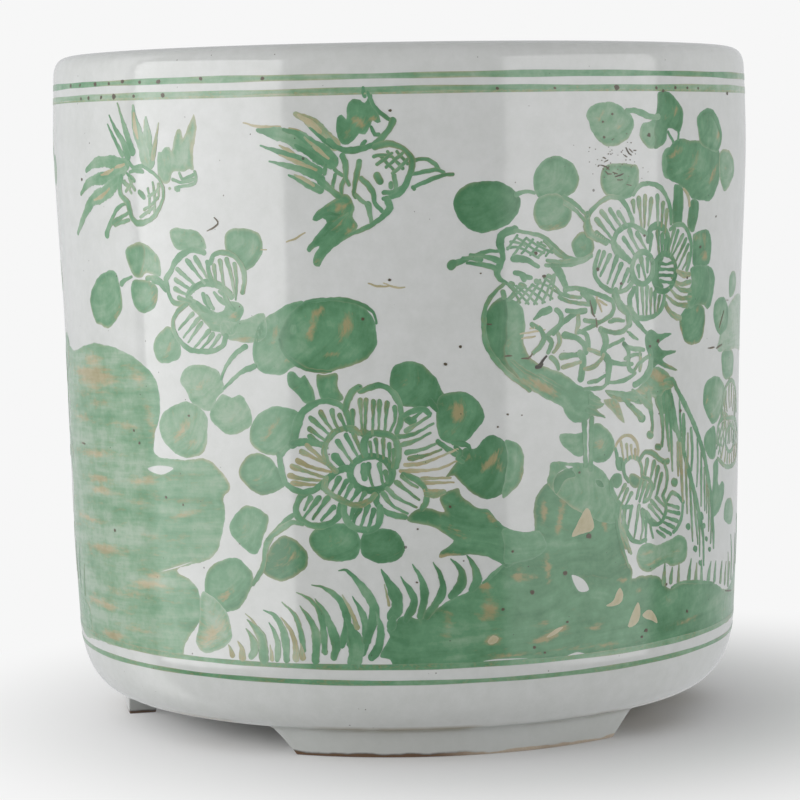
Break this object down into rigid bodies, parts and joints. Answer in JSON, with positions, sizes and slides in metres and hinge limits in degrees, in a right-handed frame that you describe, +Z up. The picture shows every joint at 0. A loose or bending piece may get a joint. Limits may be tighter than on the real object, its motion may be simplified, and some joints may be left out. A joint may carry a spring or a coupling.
{
  "type": "jardiniere",
  "caption": "Straight-sided round porcelain planter with a rolled lip, a flat floor with a drain hole, and a low foot ring cut away into bracket feet.",
  "frame": {"origin": "on the ground under the middle of the pot", "axes": "+Z up along the pot's axis, the painted front with the perched bird faces -Y, +X to its right"},
  "size_m": [0.2496, 0.2496, 0.236],
  "materials": {
    "white_glaze": "gloss",
    "green_enamel": "gloss",
    "ochre_stain": "gloss",
    "iron_speck": "satin",
    "bare_clay": "matte"
  },
  "bodies": {
    "root": {"pot_wall": "white_glaze", "floor_disc": "white_glaze", "foot_front": "white_glaze", "foot_rear_right": "white_glaze", "foot_rear_left": "white_glaze"}
  },
  "joints": []
}
